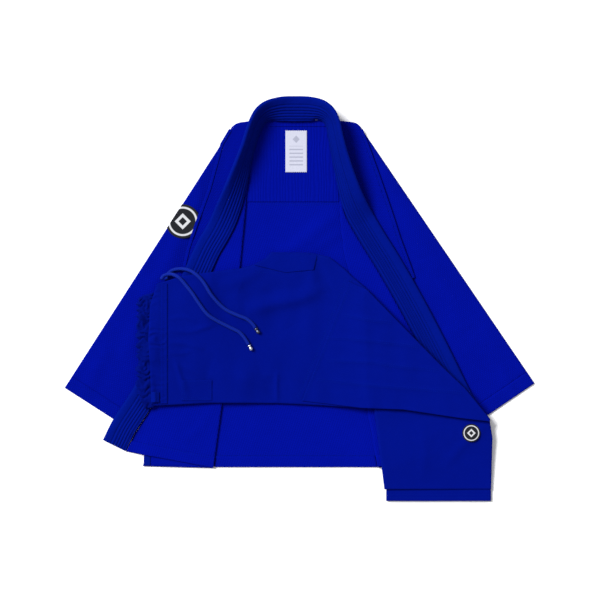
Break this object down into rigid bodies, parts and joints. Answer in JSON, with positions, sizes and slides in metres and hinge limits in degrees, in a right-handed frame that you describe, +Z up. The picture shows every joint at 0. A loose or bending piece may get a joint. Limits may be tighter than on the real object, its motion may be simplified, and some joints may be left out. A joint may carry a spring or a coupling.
{
  "type": "martial arts uniform",
  "caption": "Woven cotton wrap jacket laid open and flat, with quilted lapel band, and drawcord trousers folded across its lower half.",
  "frame": {"origin": "middle of the underside of the laid-out uniform, on the surface it lies on", "axes": "+Z up, +Y towards the collar, +X towards the wearer's left sleeve"},
  "size_m": [0.9922, 0.8522, 0.0567],
  "materials": {
    "weave": "royal blue pearl weave cotton, matt",
    "lining": "royal blue cotton lining",
    "trim": "royal blue cotton tape with stitch rows",
    "band": "deep blue ripstop band with rows of stitching",
    "twill": "deep blue cotton twill",
    "foam": "closed-cell foam strip",
    "label": "white woven label",
    "badge": "embroidered black badge",
    "cord": "round woven cotton cord",
    "tip": "crimped metal cord end"
  },
  "bodies": {
    "jacket": {"back_panel": "weave", "back_hem_facing": "trim", "yoke_lining": "lining", "neck_label": "label", "right_front_panel": "weave", "left_front_panel": "weave", "right_front_flap": "weave", "left_front_flap": "weave", "right_flap_facing": "trim", "left_flap_facing": "trim", "right_vent_patch": "trim", "left_vent_patch": "trim", "right_lapel_cover": "band", "left_lapel_cover": "band", "collar_cover": "band", "right_lapel_core": "foam", "left_lapel_core": "foam", "collar_core": "foam"},
    "right_sleeve": {"right_sleeve": "weave", "right_cuff_hem": "weave", "sleeve_badge": "badge"},
    "left_sleeve": {"left_sleeve": "weave", "left_cuff_hem": "weave"},
    "trousers": {"near_thigh": "twill", "far_thigh": "twill", "near_shin": "twill", "far_shin": "twill", "near_leg_hem": "twill", "far_leg_hem": "twill", "back_waistband": "twill", "waistband_casing": "twill", "belt_loop": "twill", "hip_patch": "twill", "knee_patch": "twill", "crotch_gusset": "twill", "leg_badge": "badge", "drawcord_upper": "cord", "drawcord_lower": "cord", "upper_cord_tip": "tip", "lower_cord_tip": "tip"}
  },
  "joints": [
    {"name": "trousers_lift", "type": "slide", "parent": "jacket", "child": "trousers", "axis": [0, 0, 1], "range_m": [0, 0.35]},
    {"name": "right_sleeve_swing", "type": "hinge", "parent": "jacket", "child": "right_sleeve", "pos_m": [-0.14214, 0.36288, 0.00225], "axis": [0, 0, -1], "range_deg": [0, 45]},
    {"name": "left_sleeve_swing", "type": "hinge", "parent": "jacket", "child": "left_sleeve", "pos_m": [0.12786, 0.36288, 0.00225], "axis": [0, 0, 1], "range_deg": [0, 45]}
  ]
}
